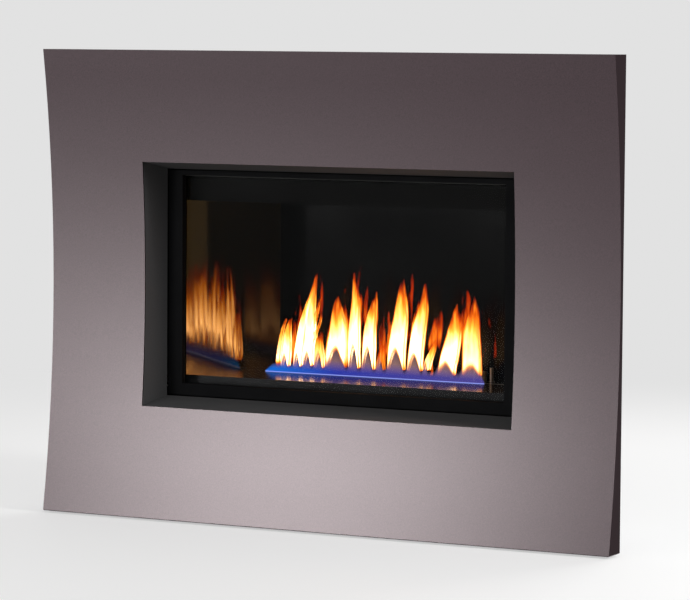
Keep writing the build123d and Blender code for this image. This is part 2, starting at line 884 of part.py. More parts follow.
# ---------------------------------------------------------------- burner
port_count = int(port_row // port_pitch) + 1
with BuildPart() as burner_tube:
    rod((-burner_half, burner_y, burner_level), (burner_half, burner_y, burner_level), burner_radius)
    span_box(
        both_sides(port_row / 2 + port_pitch),
        (burner_y - rib_half, burner_y + rib_half),
        (burner_level, tray_level),
    )
    rod(
        (-burner_half + burner_wall, burner_y, burner_level),
        (burner_half - burner_wall, burner_y, burner_level),
        burner_radius - burner_wall,
        mode=Mode.SUBTRACT,
    )
    with BuildSketch(Plane.XY.offset(tray_level)):
        with Locations((port_shift, burner_y)):
            with GridLocations(port_pitch, 1, port_count, 1):
                Circle(port_radius)
    extrude(amount=-burner_radius, mode=Mode.SUBTRACT)
    rod(
        (mixer_x, burner_y - 2 * burner_radius, burner_level),
        (mixer_x, burner_y, burner_level),
        mixer_radius - mixer_wall,
        mode=Mode.SUBTRACT,
    )
finish_piece(burner_tube, "burner_tube")

with BuildPart() as burner_saddles:
    for x in (-burner_half * 0.7, burner_half * 0.25):
        span_box(
            (x - plate_sheet / 2, x + plate_sheet / 2),
            (burner_y - 1.3 * burner_radius, burner_y + 1.3 * burner_radius),
            (floor_top, burner_level - 2),
        )
        span_box(
            (x, x + 0.8 * burner_radius),
            (burner_y - 1.3 * burner_radius, burner_y + 1.3 * burner_radius),
            (floor_top, floor_top + plate_sheet),
        )
    rod(
        (-burner_half, burner_y, burner_level),
        (burner_half, burner_y, burner_level),
        burner_radius,
        mode=Mode.SUBTRACT,
    )
finish_piece(burner_saddles, "burner_saddles")

# Venturi with four air windows near its mouth, and a turning sleeve with the same windows
def air_windows(radius):
    """Round windows through a sleeve of this radius, about the mixer's axis."""
    for index in range(window_count):
        angle = 45 + index * 360 / window_count
        across = Vector(cos(radians(angle)), 0, sin(radians(angle)))
        start = Vector(mixer_x, lever_y + lever_width / 2, burner_level) + across * (mixer_radius - 3)
        end = Vector(mixer_x, lever_y + lever_width / 2, burner_level) + across * (radius + 3)
        rod(start, end, window_radius, mode=Mode.SUBTRACT)


with BuildPart() as mixer_tube:
    mixer_start = (mixer_x, mouth_y, burner_level)
    mixer_end = (mixer_x, burner_y, burner_level)
    rod(mixer_start, mixer_end, mixer_radius)
    rod(mixer_start, mixer_end, mixer_radius - mixer_wall, mode=Mode.SUBTRACT)
    rod(
        (-burner_half, burner_y, burner_level),
        (burner_half, burner_y, burner_level),
        burner_radius,
        mode=Mode.SUBTRACT,
    )
    air_windows(mixer_radius)
finish_piece(mixer_tube, "mixer_tube")

with BuildPart() as air_shutter:
    sleeve_end = mouth_y + shutter_length
    rod((mixer_x, mouth_y, burner_level), (mixer_x, sleeve_end, burner_level), shutter_radius)
    span_box(
        (mixer_x - lever_width / 2, mixer_x + lever_width / 2),
        (lever_y - lever_sheet / 2, lever_y + lever_sheet / 2),
        (burner_level - lever_drop, burner_level - mixer_radius),
    )
    rod(
        (mixer_x, mouth_y - 1, burner_level),
        (mixer_x, sleeve_end + 1, burner_level),
        mixer_radius + shutter_play,
        mode=Mode.SUBTRACT,
    )
    air_windows(shutter_radius)
finish_piece(air_shutter, "air_shutter")

elbow_low = firebox_floor_level - elbow_drop
with BuildPart() as orifice_elbow:
    rod((mixer_x, elbow_y, elbow_low), (mixer_x, elbow_y, burner_level), elbow_radius)
    with Locations((mixer_x, elbow_y, burner_level)):
        Sphere(elbow_radius)
    nozzle_start = mouth_y - 1
    nozzle_end = nozzle_start + nozzle_length
    rod((mixer_x, elbow_y, burner_level), (mixer_x, nozzle_start, burner_level), elbow_radius)
    rod((mixer_x, nozzle_start, burner_level), (mixer_x, nozzle_end, burner_level), nozzle_radius)
    with BuildSketch(Plane.XY.offset(floor_top)):
        with Locations((mixer_x, elbow_y)):
            RegularPolygon(1.5 * elbow_radius, 6)
    extrude(amount=elbow_radius)
    rod(
        (mixer_x, nozzle_end - nozzle_radius, burner_level),
        (mixer_x, nozzle_end + 1, burner_level),
        nozzle_radius / 3,
        mode=Mode.SUBTRACT,
    )
finish_piece(orifice_elbow, "orifice_elbow")

# ---------------------------------------------------------------- pilot
pilot_plate = tray_under - pilot_bracket
hood_top = tray_level + pilot_rise
hood_low = hood_top - hood_height
with BuildPart() as pilot_burner:
    span_box(
        (pilot_x - 2.2 * probe_spacing, pilot_x + 2.2 * probe_spacing),
        (pilot_y - 1.6 * pilot_radius, pilot_y + 1.6 * pilot_radius),
        (pilot_plate, tray_under),
    )
    rod((pilot_x, pilot_y, pilot_plate - pilot_tube_drop), (pilot_x, pilot_y, hood_low), pilot_radius)
    rod((pilot_x, pilot_y, hood_low), (pilot_x, pilot_y, hood_top), 1.2 * pilot_radius)
    rod(
        (pilot_x, pilot_y, hood_top - hood_bore),
        (pilot_x, pilot_y, hood_top + 1),
        0.6 * pilot_radius,
        mode=Mode.SUBTRACT,
    )
    for (x, y), radius in zip(probe_places, (electrode_radius, sensor_radius)):
        rod((x, y, pilot_plate - 1), (x, y, tray_under + 1), radius + rod_gap / 2, mode=Mode.SUBTRACT)
finish_piece(pilot_burner, "pilot_burner")

for (x, y), radius, rise, name in (
    (probe_places[0], electrode_radius, electrode_rise, "spark_electrode"),
    (probe_places[1], sensor_radius, sensor_rise, "flame_sensor"),
):
    with BuildPart() as probe:
        rod((x, y, pilot_plate - probe_drop), (x, y, hood_top + rise), radius)
        rod((x, y, tray_under), (x, y, tray_under + probe_nut), radius + probe_nut)
    finish_piece(probe, name)

valve_back = valve_front + valve_size[1]
pilot_tube = tube_along(
    [
        (pilot_x, pilot_y, pilot_plate - pilot_tube_drop),
        (pilot_x, pilot_y, valve_high - pilot_tube_drop),
        (pilot_x, valve_back, valve_high - pilot_tube_drop),
    ],
    pilot_tube_radius,
    pilot_tube_bend,
)
finish_piece(pilot_tube, "pilot_tube")

# ---------------------------------------------------------------- gas valve and controls
control_high = firebox_floor_level - control_room
with BuildPart() as control_panel:
    span_box(control_span, (panel_plane, valve_front), (pan_top, control_high))
    span_box(control_span, (valve_front, valve_front + case_lip), (pan_top, pan_top + control_sheet))
    for x, radius in (
        (gas_knob_x, shaft_radius + hole_gap),
        (flame_knob_x, shaft_radius + hole_gap),
        (igniter_x, button_radius + frame_lap),
        (fan_knob_x, shaft_radius + hole_gap),
    ):
        rod(
            (x, panel_plane - 1, control_level),
            (x, valve_front + 1, control_level),
            radius,
            mode=Mode.SUBTRACT,
        )
    span_box(
        (rocker_x - rocker_width / 2 - frame_lap, rocker_x + rocker_width / 2 + frame_lap),
        (panel_plane - 1, valve_front + 1),
        (control_level - rocker_height / 2 - frame_lap, control_level + rocker_height / 2 + frame_lap),
        mode=Mode.SUBTRACT,
    )
finish_piece(control_panel, "control_panel")

with BuildPart() as gas_valve:
    span_box(
        (valve_x - valve_size[0] / 2, valve_x + valve_size[0] / 2),
        (valve_front, valve_back),
        (valve_low, valve_high),
    )
    fillet(gas_valve.edges().filter_by(Axis.Y), valve_round)
    rod((mixer_x, elbow_y, valve_high), (mixer_x, elbow_y, valve_high + valve_boss), 1.6 * elbow_radius)
    rod(
        (valve_x - valve_size[0] / 2, valve_front + valve_size[1] / 2, control_level),
        (valve_x - valve_size[0] / 2 - valve_inlet, valve_front + valve_size[1] / 2, control_level),
        1.5 * supply_radius,
    )
    rod(
        (valve_x, valve_back, control_level - regulator_drop),
        (valve_x, valve_back + regulator_depth, control_level - regulator_drop),
        regulator_radius,
    )
    for x in (gas_knob_x, flame_knob_x):
        rod(
            (x, valve_front - 1, control_level),
            (x, valve_front + shaft_reach + 1, control_level),
            shaft_radius + shaft_play,
            mode=Mode.SUBTRACT,
        )
finish_piece(gas_valve, "gas_valve")

manifold_low = valve_high + valve_boss
with BuildPart() as manifold_tube:
    rod((mixer_x, elbow_y, manifold_low), (mixer_x, elbow_y, elbow_low), elbow_radius * 0.8)
    for level in (manifold_low, elbow_low - valve_boss):
        with BuildSketch(Plane.XY.offset(level)):
            with Locations((mixer_x, elbow_y)):
                RegularPolygon(1.4 * elbow_radius, 6)
        extrude(amount=valve_boss)
finish_piece(manifold_tube, "manifold_tube")

supply_end = valve_x - valve_size[0] / 2 - valve_inlet
supply_turn = supply_end - supply_run
supply_front = valve_front + valve_size[1] / 2
supply_pipe = tube_along(
    [
        (-case_inner + inlet_tail, supply_y, control_level),
        (supply_turn, supply_y, control_level),
        (supply_turn, supply_front, control_level),
        (supply_end, supply_front, control_level),
    ],
    supply_radius,
    supply_bend,
)
with supply_pipe:
    with BuildSketch(Plane(origin=(-case_half, supply_y, control_level), z_dir=(-1, 0, 0))) as nut_outline:
        RegularPolygon(1.5 * inlet_radius, 6)
    extrude(nut_outline.sketch, amount=inlet_nut)
    rod(
        (-case_half - inlet_length, supply_y, control_level),
        (-case_inner + inlet_tail + 2, supply_y, control_level),
        inlet_radius,
    )
    rod(
        (-case_half - inlet_length, supply_y, control_level),
        (-case_inner, supply_y, control_level),
        inlet_radius - inlet_wall,
        mode=Mode.SUBTRACT,
    )
finish_piece(supply_pipe, "supply_pipe")


def turning_knob(x, radius, depth, flutes):
    """A knob with finger flutes, a pointer ridge and its shaft, which turns in what is behind the panel."""
    front = panel_plane - knob_gap - depth
    with BuildPart() as knob:
        rod((x, panel_plane - knob_gap, control_level), (x, front, control_level), radius)
        fillet(knob.faces().sort_by(Axis.Y)[0].edges(), knob_round)
        for index in range(flutes):
            angle = radians(90 + (index + 0.5) * 360 / flutes)
            flute_x = x + (radius + 1) * cos(angle)
            flute_z = control_level + (radius + 1) * sin(angle)
            rod(
                (flute_x, panel_plane - 2.5 * knob_gap, flute_z),
                (flute_x, front - 1, flute_z),
                radius / 7,
                mode=Mode.SUBTRACT,
            )
        span_box(
            (x - 1, x + 1),
            (front - 1, front + 1),
            (control_level + radius / 4, control_level + radius - 1.25 * knob_round),
        )
        shaft_start = panel_plane - 1.5 * knob_gap
        rod((x, shaft_start, control_level), (x, valve_front + shaft_reach, control_level), shaft_radius)
    return knob


gas_knob = turning_knob(gas_knob_x, knob_radius, knob_depth, flute_count)
finish_piece(gas_knob, "gas_knob")
flame_knob = turning_knob(flame_knob_x, flame_knob_radius, knob_depth, small_flute_count)
finish_piece(flame_knob, "flame_knob")
fan_knob = turning_knob(fan_knob_x, fan_knob_radius, knob_depth - knob_gap, small_flute_count)
finish_piece(fan_knob, "fan_knob")

with BuildPart() as fan_control:
    span_box(
        (fan_knob_x - fan_control_half, fan_knob_x + fan_control_half),
        (valve_front, valve_front + shaft_reach + fan_control_wall),
        (control_level - fan_control_half, control_level + fan_control_half),
    )
    fillet(fan_control.edges().filter_by(Axis.Y), fan_control_wall / 2)
    rod(
        (fan_knob_x, valve_front - 1, control_level),
        (fan_knob_x, valve_front + shaft_reach + 1, control_level),
        shaft_radius + shaft_play,
        mode=Mode.SUBTRACT,
    )
finish_piece(fan_control, "fan_control")

# Piezo igniter: the button slides in a collar that goes through the panel
with BuildPart() as igniter_body:
    collar_front = panel_plane - igniter_collar
    body_end = valve_front + igniter_length
    for start, end, radius in (
        (collar_front, valve_front, button_radius + frame_lap),
        (collar_front, panel_plane, button_radius + 2 * frame_lap),
        (valve_front, body_end, button_radius + 2 * frame_lap),
    ):
        rod((igniter_x, start, control_level), (igniter_x, end, control_level), radius)
    rod(
        (igniter_x, collar_front - 1, control_level),
        (igniter_x, valve_front + button_bore, control_level),
        button_radius + shaft_play,
        mode=Mode.SUBTRACT,
    )
finish_piece(igniter_body, "igniter_body")

with BuildPart() as igniter_button:
    button_front = collar_front - button_travel - button_proud
    button_back = valve_front + button_root
    rod((igniter_x, button_front, control_level), (igniter_x, button_back, control_level), button_radius)
    fillet(igniter_button.faces().sort_by(Axis.Y)[0].edges(), button_round)
finish_piece(igniter_button, "igniter_button")

# Burner switch: a rocker in a frame, turning on a cross pin
rocker_y = panel_plane + rocker_inset
with BuildPart() as switch_housing:
    bezel = (rocker_width / 2 + 2 * frame_lap, rocker_height / 2 + 2 * frame_lap)
    span_box(
        (rocker_x - bezel[0], rocker_x + bezel[0]),
        (panel_plane - frame_lap, panel_plane),
        (control_level - bezel[1], control_level + bezel[1]),
    )
    span_box(
        (rocker_x - bezel[0] + frame_lap, rocker_x + bezel[0] - frame_lap),
        (panel_plane, panel_plane + switch_depth),
        (control_level - bezel[1] + frame_lap, control_level + bezel[1] - frame_lap),
    )
    span_box(
        (rocker_x - rocker_width / 2 - clip_gap, rocker_x + rocker_width / 2 + clip_gap),
        (panel_plane - frame_lap - 1, panel_plane + rocker_bore),
        (control_level - rocker_height / 2 - 2 * clip_gap, control_level + rocker_height / 2 + 2 * clip_gap),
        mode=Mode.SUBTRACT,
    )
    rod(
        (rocker_x - rocker_width / 2 - rocker_pin, rocker_y, control_level),
        (rocker_x + rocker_width / 2 + rocker_pin, rocker_y, control_level),
        rocker_pin + shaft_play,
        mode=Mode.SUBTRACT,
    )
finish_piece(switch_housing, "switch_housing")

with BuildPart() as switch_rocker:
    tilt = tan(radians(rocker_swing / 2))
    half = rocker_height / 2 - frame_lap
    face = rocker_y - rocker_rise
    root = rocker_y + 2 * rocker_pin
    with BuildSketch(Plane.YZ.offset(rocker_x - rocker_width / 2)):
        with BuildLine():
            Polyline(
                (root, control_level - half / 3),
                (face - half * tilt, control_level - half),
                (face, control_level),
                (face + 0.4 * half * tilt, control_level + half),
                (root, control_level + half / 3),
                close=True,
            )
        make_face()
    extrude(amount=rocker_width)
    rod(
        (rocker_x - rocker_width / 2 - 0.8 * rocker_pin, rocker_y, control_level),
        (rocker_x + rocker_width / 2 + 0.8 * rocker_pin, rocker_y, control_level),
        rocker_pin,
    )
finish_piece(switch_rocker, "switch_rocker")

# ---------------------------------------------------------------- blower
motor_half = motor_length / 2
housing_length = wheel_length + 2 * scroll_gap
housing_starts = (
    blower_x - motor_half - scroll_room - housing_length,
    blower_x + motor_half + scroll_room,
)
with BuildPart() as blower_housings:
    outlet_high = firebox_floor_level - scroll_room
    for start in housing_starts:
        span = (start, start + housing_length)
        outer = scroll_radius + scroll_sheet
        rod((span[0], blower_y, blower_level), (span[1], blower_y, blower_level), outer)
        span_box(span, (blower_y, blower_y + outer), (blower_level, outlet_high))
        span_box(
            span,
            (blower_y - scroll_radius / 2, blower_y + scroll_radius / 2),
            (pan_top, blower_level - scroll_radius / 2),
        )
        inner = (span[0] + scroll_sheet, span[1] - scroll_sheet)
        rod(
            (inner[0], blower_y, blower_level),
            (inner[1], blower_y, blower_level),
            scroll_radius,
            mode=Mode.SUBTRACT,
        )
        span_box(
            inner,
            (blower_y + scroll_sheet, blower_y + scroll_radius),
            (blower_level, outlet_high + 1),
            mode=Mode.SUBTRACT,
        )
        rod(
            (span[0] - 1, blower_y, blower_level),
            (span[1] + 1, blower_y, blower_level),
            wheel_radius - scroll_room,
            mode=Mode.SUBTRACT,
        )
finish_piece(blower_housings, "blower_housings")

with BuildPart() as blower_motor:
    rod(
        (blower_x - motor_half, blower_y, blower_level),
        (blower_x + motor_half, blower_y, blower_level),
        motor_radius,
    )
    fillet(blower_motor.edges(), motor_round)
    span_box(
        (blower_x - motor_foot, blower_x + motor_foot),
        (blower_y - motor_radius, blower_y + motor_radius),
        (pan_top, blower_level - motor_radius / 2),
    )
    rod(
        (blower_x - motor_half - 1, blower_y, blower_level),
        (blower_x + motor_half + 1, blower_y, blower_level),
        blower_shaft_radius + shaft_play,
        mode=Mode.SUBTRACT,
    )
finish_piece(blower_motor, "blower_motor")

# Two squirrel-cage wheels on one shaft
with BuildPart() as blower_wheels:
    rod(
        (housing_starts[0] + scroll_gap, blower_y, blower_level),
        (housing_starts[1] + housing_length - scroll_gap, blower_y, blower_level),
        blower_shaft_radius,
    )
    for start in housing_starts:
        wheel_start = start + scroll_gap
        middle_x = wheel_start + wheel_length / 2
        rod(
            (middle_x - wheel_ring / 2, blower_y, blower_level),
            (middle_x + wheel_ring / 2, blower_y, blower_level),
            wheel_radius,
        )
        with BuildSketch(Plane.YZ.offset(wheel_start)):
            with Locations((blower_y, blower_level)):
                with PolarLocations(wheel_radius - blade_depth / 2, blade_count):
                    Rectangle(blade_depth, blade_sheet)
        extrude(amount=wheel_length)
        for ring_start in (wheel_start, wheel_start + wheel_length - wheel_ring):
            with BuildSketch(Plane.YZ.offset(ring_start)):
                with Locations((blower_y, blower_level)):
                    Circle(wheel_radius)
                    Circle(wheel_radius - blade_depth, mode=Mode.SUBTRACT)
            extrude(amount=wheel_ring)
finish_piece(blower_wheels, "blower_wheels")

with BuildPart() as power_inlet:
    y_half, z_half = inlet_socket[0] / 2, inlet_socket[1] / 2
    place_y, place_z = socket_place
    span_box(
        (case_half - socket_depth, case_half),
        (place_y - y_half, place_y + y_half),
        (place_z - z_half, place_z + z_half),
    )
    span_box(
        (case_half, case_half + socket_flange),
        (place_y - y_half - socket_flange, place_y + y_half + socket_flange),
        (place_z - z_half - socket_flange, place_z + z_half + socket_flange),
    )
    span_box(
        (case_half - socket_bore, case_half + socket_flange + 1),
        (place_y - y_half + socket_wall, place_y + y_half - socket_wall),
        (place_z - z_half + socket_wall, place_z + z_half - socket_wall),
        mode=Mode.SUBTRACT,
    )
    for offset, lift in ((-socket_pitch, -pin_lift), (0.0, pin_lift), (socket_pitch, -pin_lift)):
        span_box(
            (case_half - pin_length, case_half + 1),
            (place_y + offset - 1, place_y + offset + 1),
            (place_z + lift - 2, place_z + lift + 2),
        )
finish_piece(power_inlet, "power_inlet")

# ---------------------------------------------------------------- vent
bead_low = body_top + collar_gap


def vent_collar(x, low):
    """A round collar with a flange at its foot and a bead above the casing."""
    with BuildPart() as collar:
        rod((x, collar_y, low), (x, collar_y, collar_top), collar_radius)
        rod((x, collar_y, low), (x, collar_y, low + collar_wall), collar_radius + collar_flange)
        rod((x, collar_y, bead_low), (x, collar_y, bead_low + collar_bead), collar_radius + collar_bead)
        rod(
            (x, collar_y, low - 1),
            (x, collar_y, collar_top + 1),
            collar_radius - collar_wall,
            mode=Mode.SUBTRACT,
        )
    return collar


exhaust_collar = vent_collar(exhaust_x, firebox_top_level)
finish_piece(exhaust_collar, "exhaust_collar")
intake_collar = vent_collar(intake_x, duct_high)
finish_piece(intake_collar, "intake_collar")

# The intake duct lies on the firebox, and its rear end opens down into the drop duct
duct_front = collar_y - collar_radius - collar_flange - duct_margin
duct_outside = (intake_x - duct_half, intake_x + duct_half)
duct_inside = (intake_x - duct_half + duct_sheet, intake_x + duct_half - duct_sheet)
drop_inside = (firebox_back + duct_sheet, duct_rear - duct_sheet)
with BuildPart() as intake_duct:
    span_box(duct_outside, (duct_front, duct_rear), (duct_low, duct_high))
    span_box(
        duct_inside,
        (duct_front + duct_sheet, duct_rear - duct_sheet),
        (duct_low + duct_sheet, duct_high - duct_sheet),
        mode=Mode.SUBTRACT,
    )
    rod(
        (intake_x, collar_y, duct_high - 2 * duct_sheet),
        (intake_x, collar_y, duct_high + 1),
        collar_radius - collar_wall,
        mode=Mode.SUBTRACT,
    )
    span_box(duct_inside, drop_inside, (duct_low - 1, duct_low + 2 * duct_sheet), mode=Mode.SUBTRACT)
finish_piece(intake_duct, "intake_duct")

# The drop duct stands behind the firebox and opens into it below the tray
with BuildPart() as intake_drop_duct:
    span_box(duct_outside, (firebox_back, duct_rear), (floor_top, duct_low))
    span_box(duct_inside, drop_inside, (floor_top + duct_sheet, duct_low + 1), mode=Mode.SUBTRACT)
    span_box(
        (intake_x - duct_half + 3 * duct_sheet, intake_x + duct_half - 3 * duct_sheet),
        (firebox_back - 1, firebox_back + 2 * duct_sheet),
        (floor_top + 3 * duct_sheet, tray_level - 3 * duct_sheet),
        mode=Mode.SUBTRACT,
    )
finish_piece(intake_drop_duct, "intake_drop_duct")

# ---------------------------------------------------------------- door
with BuildPart() as door_frame:
    span_box(both_sides(door_half), (door_front, door_front + door_depth), (door_low, door_high))
    span_box(
        both_sides(door_half - door_sheet),
        (gasket_front, door_front + door_depth),
        (door_low + door_sheet, door_high - door_sheet),
        mode=Mode.SUBTRACT,
    )
    front_plane = Plane(origin=(0, gasket_front, 0), x_dir=(1, 0, 0), z_dir=(0, -1, 0))
    with BuildSketch(front_plane):
        with Locations((0, (door_low + door_high) / 2)):
            Rectangle(2 * (door_half - door_sheet), door_high - door_low - 2 * door_sheet)
        with Locations((0, (light_low + light_high) / 2)):
            Rectangle(
                2 * (light_half + door_sheet), light_high - light_low + 2 * door_sheet, mode=Mode.SUBTRACT
            )
    extrude(amount=door_lip - door_sheet, mode=Mode.SUBTRACT)
    span_box(
        both_sides(light_half),
        (door_front - 1, gasket_front + 1),
        (light_low, light_high),
        mode=Mode.SUBTRACT,
    )
    span_box(
        both_sides(door_half - door_sheet),
        (door_front + top_flange_depth, door_front + door_depth + 1),
        (door_high - 2 * door_sheet, door_high + 1),
        mode=Mode.SUBTRACT,
    )
    for side in (-1, 1):
        rod(
            (side * (door_half - 2 * door_sheet), hinge_y, hinge_z),
            (side * (door_half + 1), hinge_y, hinge_z),
            pin_radius,
            mode=Mode.SUBTRACT,
        )
finish_piece(door_frame, "door_frame")

with BuildPart() as glass_gasket:
    gasket_half = light_half + glass_play + gasket_width
    gasket_low = max(light_low - glass_play - gasket_width, glass_low)
    gasket_high = min(light_high + glass_play + gasket_width, glass_high)
    span_box(both_sides(gasket_half), (gasket_front, glass_front), (gasket_low, gasket_high))
    span_box(
        both_sides(light_half + glass_play),
        (gasket_front, glass_front),
        (light_low - glass_play, light_high + glass_play),
        mode=Mode.SUBTRACT,
    )
finish_piece(glass_gasket, "glass_gasket")

with BuildPart() as door_glass:
    span_box(both_sides(glass_half), (glass_front, glass_back), (glass_low, glass_high))
finish_piece(door_glass, "door_glass")

# Clips that hold the glass in at its two upright edges
with BuildPart() as glass_clips:
    for side in (-1, 1):
        edge = sorted((side * (door_half - door_sheet), side * glass_half))
        for share in (0.3, 0.7):
            level = glass_low + share * (glass_high - glass_low)
            span_box(
                edge,
                (glass_front, door_front + door_depth),
                (level - glass_clip_width / 2, level + glass_clip_width / 2),
            )
finish_piece(glass_clips, "glass_clips")

with BuildPart() as hinge_pins:
    for side in (-1, 1):
        rod(
            (side * (door_half - 1.5 * door_sheet), hinge_y, hinge_z),
            (side * (ear_x + ear_sheet + 1), hinge_y, hinge_z),
            pin_radius,
        )
finish_piece(hinge_pins, "hinge_pins")
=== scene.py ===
import json
from collections import namedtuple
from math import cos, radians, sin

import bpy
import numpy as np
from mathutils import Matrix, Vector


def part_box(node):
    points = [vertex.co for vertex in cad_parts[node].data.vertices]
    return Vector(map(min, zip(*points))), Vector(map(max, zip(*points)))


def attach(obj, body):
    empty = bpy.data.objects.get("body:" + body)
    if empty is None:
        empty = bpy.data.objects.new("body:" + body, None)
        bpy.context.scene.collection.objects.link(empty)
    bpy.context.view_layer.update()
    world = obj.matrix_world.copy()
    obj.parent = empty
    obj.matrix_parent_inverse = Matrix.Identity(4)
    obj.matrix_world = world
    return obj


# A gas fireplace insert, lit, on a pale studio floor. Metres, +Z up, the face looks along -Y.
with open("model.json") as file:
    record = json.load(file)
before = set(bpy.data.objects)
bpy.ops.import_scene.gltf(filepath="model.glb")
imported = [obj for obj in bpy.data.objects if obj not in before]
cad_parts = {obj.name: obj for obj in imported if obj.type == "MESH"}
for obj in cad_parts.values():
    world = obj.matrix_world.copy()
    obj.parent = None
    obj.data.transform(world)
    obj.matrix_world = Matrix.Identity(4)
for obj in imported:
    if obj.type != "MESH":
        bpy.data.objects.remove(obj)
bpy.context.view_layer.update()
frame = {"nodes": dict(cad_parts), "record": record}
nodes = frame["nodes"]

MM = 0.001
WHITE = (1, 1, 1, 1)
tray_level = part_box("burner_tray")[1].z
burner_low, burner_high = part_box("burner_tube")
burner_y = (burner_low.y + burner_high.y) / 2


# ---------------------------------------------------------------- shader nodes
def add_node(tree, kind, inputs=None, **settings):
    """A node, whose inputs are numbers, colours or other nodes' outputs."""
    node = tree.nodes.new(kind)
    for setting, value in settings.items():
        setattr(node, setting, value)
    for socket, value in (inputs or {}).items():
        if isinstance(value, bpy.types.NodeSocket):
            tree.links.new(value, node.inputs[socket])
        else:
            node.inputs[socket].default_value = value
    return node


def seen_directly(tree):
    """1 on rays that come from the camera, a gloss or a clear pane, and 0 on the rest."""
    rays = add_node(tree, "ShaderNodeLightPath").outputs
    total = rays["Is Camera Ray"]
    for ray in ("Is Glossy Ray", "Is Transmission Ray"):
        total = add_node(tree, "ShaderNodeMath", {0: total, 1: rays[ray]}, operation="MAXIMUM").outputs[0]
    return total


class Finish:
    """A principled material, with short ways to add the nodes that vary it over the surface."""

    def __init__(self, name, colour, roughness, metallic=0.0, **inputs):
        self.name = name
        self.material = bpy.data.materials.new(name)
        self.material.use_nodes = True
        self.tree = self.material.node_tree
        self.shader = self.tree.nodes["Principled BSDF"]
        self.shader.inputs["Base Color"].default_value = (*colour, 1)
        self.shader.inputs["Roughness"].default_value = roughness
        self.shader.inputs["Metallic"].default_value = metallic
        for socket, value in inputs.items():
            self.shader.inputs[socket.replace("_", " ")].default_value = value
        coordinates = self.add("ShaderNodeTexCoord")
        self.place, self.facing = coordinates.outputs["Object"], coordinates.outputs["Normal"]

    def add(self, kind, inputs=None, **settings):
        return add_node(self.tree, kind, inputs, **settings)

    def maths(self, operation, first, second=0.0, third=0.0):
        inputs = {0: first, 1: second, 2: third}
        return self.add("ShaderNodeMath", inputs, operation=operation).outputs[0]

    def mix(self, share, first, second):
        """A colour between two."""
        node = self.add("ShaderNodeMix", {0: share, 6: first, 7: second}, data_type="RGBA")
        return node.outputs[2]

    def attribute(self, name):
        return self.add("ShaderNodeAttribute", attribute_name=name).outputs["Fac"]

    def stretched(self, stretch):
        return self.add("ShaderNodeMapping", {"Vector": self.place, "Scale": stretch}).outputs[0]

    def noise(self, size, detail=2.0, stretch=(1, 1, 1)):
        """Cloudy noise whose lumps are about so large, in metres."""
        inputs = {"Vector": self.stretched(stretch), "Scale": 1 / size, "Detail": detail}
        return self.add("ShaderNodeTexNoise", inputs).outputs[0]

    def cells(self, size):
        """Flat patches about so large, in metres, each of its own shade."""
        inputs = {"Vector": self.place, "Scale": 1 / size}
        return self.add("ShaderNodeTexVoronoi", inputs).outputs["Color"]

    def spread(self, value, low, high, bottom=0.3, top=0.7):
        """The value, taken from its usual span to the given one."""
        inputs = {"Value": value, "From Min": bottom, "From Max": top, "To Min": low, "To Max": high}
        return self.add("ShaderNodeMapRange", inputs).outputs[0]

    def ramp(self, value, *stops):
        """Colours at their places from 0 to 1."""
        ramp = self.add("ShaderNodeValToRGB", {0: value})
        elements = ramp.color_ramp.elements
        while len(elements) < len(stops):
            elements.new(0.5)
        for element, (position, colour) in zip(elements, stops):
            element.position = position
            element.color = (*colour, 1)
        return ramp.outputs[0]

    def vary(self, socket, value):
        self.tree.links.new(value, self.shader.inputs[socket])
        return self

    def shades(self, value, dark, pale, bottom=0.3, top=0.7):
        return self.vary("Base Color", self.ramp(value, (bottom, dark), (top, pale)))

    def relief(self, height, depth, strength=1.0):
        """Bumps of a real depth in metres."""
        inputs = {"Height": height, "Distance": depth, "Strength": strength}
        return self.vary("Normal", self.add("ShaderNodeBump", inputs).outputs[0])

    def surface(self, share, first, second):
        """The material's surface, mixed from two shaders."""
        mixed = self.add("ShaderNodeMixShader", {0: share, 1: first, 2: second}).outputs[0]
        self.tree.links.new(mixed, self.tree.nodes["Material Output"].inputs["Surface"])


# ---------------------------------------------------------------- camera and studio
CAMERA_PLACE = Vector((2.3352, -4.49535, 0.714))
CAMERA_YAW = radians(27.89)
CAMERA_DIP = radians(4.389)
CAMERA_ROLL = radians(0.405)
CAMERA_LENS = 180.77
FAR_CLIP = 100
AMBIENT = 0.27  # the surround's light on the object
BACKDROP = 0.76  # the surround's look
FLOOR_SIZE = 60
FLOOR_FADE = (0.9, 2.3)  # from this far to this far out, the floor turns into the backdrop


def photo_camera():
    forward = Vector(
        (-sin(CAMERA_YAW) * cos(CAMERA_DIP), cos(CAMERA_YAW) * cos(CAMERA_DIP), -sin(CAMERA_DIP))
    )
    level = Vector((cos(CAMERA_YAW), sin(CAMERA_YAW), 0))
    upright = level.cross(forward)
    right = cos(CAMERA_ROLL) * level + sin(CAMERA_ROLL) * upright
    up = right.cross(forward)
    data = bpy.data.cameras.new("photo_camera")
    data.lens = CAMERA_LENS
    data.sensor_width = 36
    data.clip_end = FAR_CLIP
    camera = bpy.data.objects.new("photo_camera", data)
    turn = Matrix((right, up, -forward)).transposed().to_4x4()
    camera.matrix_world = Matrix.Translation(CAMERA_PLACE) @ turn
    bpy.context.scene.collection.objects.link(camera)
    bpy.context.scene.camera = camera


def softbox(name, place, target, size, watts):
    """A rectangular lamp that faces its target."""
    data = bpy.data.lights.new(name, "AREA")
    data.shape = "RECTANGLE"
    data.size, data.size_y = size
    data.energy = watts
    lamp = bpy.data.objects.new(name, data)
    lamp.location = place
    lamp.rotation_euler = (Vector(target) - Vector(place)).to_track_quat("-Z", "Y").to_euler()
    lamp.visible_camera = False
    bpy.context.scene.collection.objects.link(lamp)


